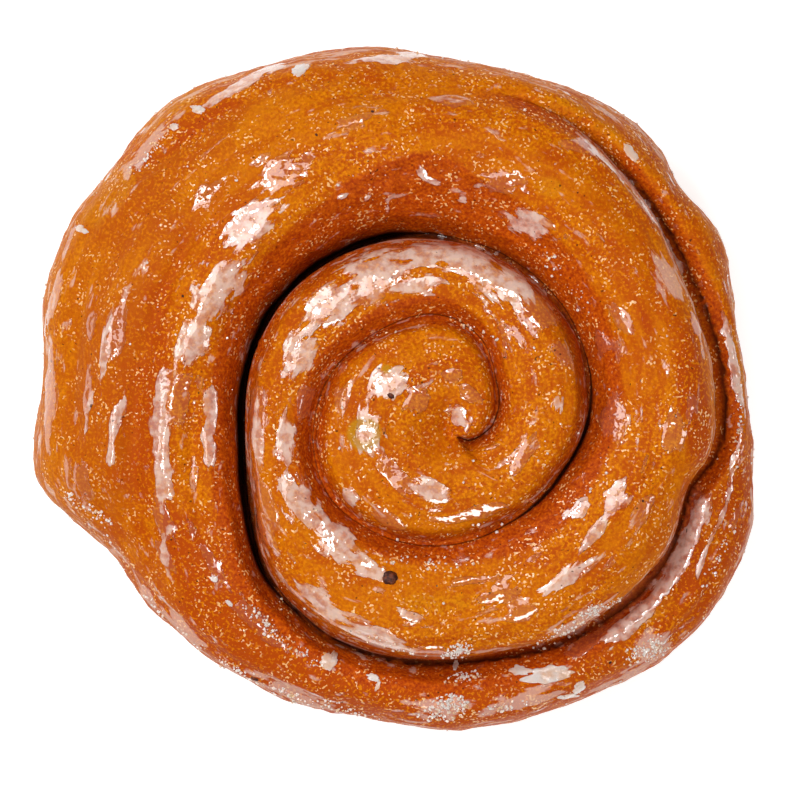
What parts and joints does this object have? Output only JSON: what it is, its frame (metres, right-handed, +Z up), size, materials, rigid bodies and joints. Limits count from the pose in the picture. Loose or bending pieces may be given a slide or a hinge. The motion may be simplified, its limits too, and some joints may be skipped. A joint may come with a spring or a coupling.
{
  "type": "cinnamon roll",
  "caption": "Glazed spiral roll of sweet yeast dough, domed in the middle, with an open deep seam and a flat foot to rest on.",
  "frame": {"origin": "bottom centre of the roll's box, on the plane it rests on", "axes": "+Z up, away from the foot; +X along the longest extent, towards the low outer turn; +Y towards the side where the strip's tail lies over the top"},
  "size_m": [0.126, 0.1196, 0.0444],
  "materials": {
    "crust": "golden brown baked dough under a thin clear sugar glaze, glossy and uneven",
    "glaze": "milky flakes of dried sugar glaze, semi gloss",
    "sugar": "loose crystals of sugar that stuck in the glaze",
    "cinnamon": "dark brown spice and burnt sugar, matt"
  },
  "bodies": {
    "root": {"dough_roll": "crust"}
  },
  "joints": []
}
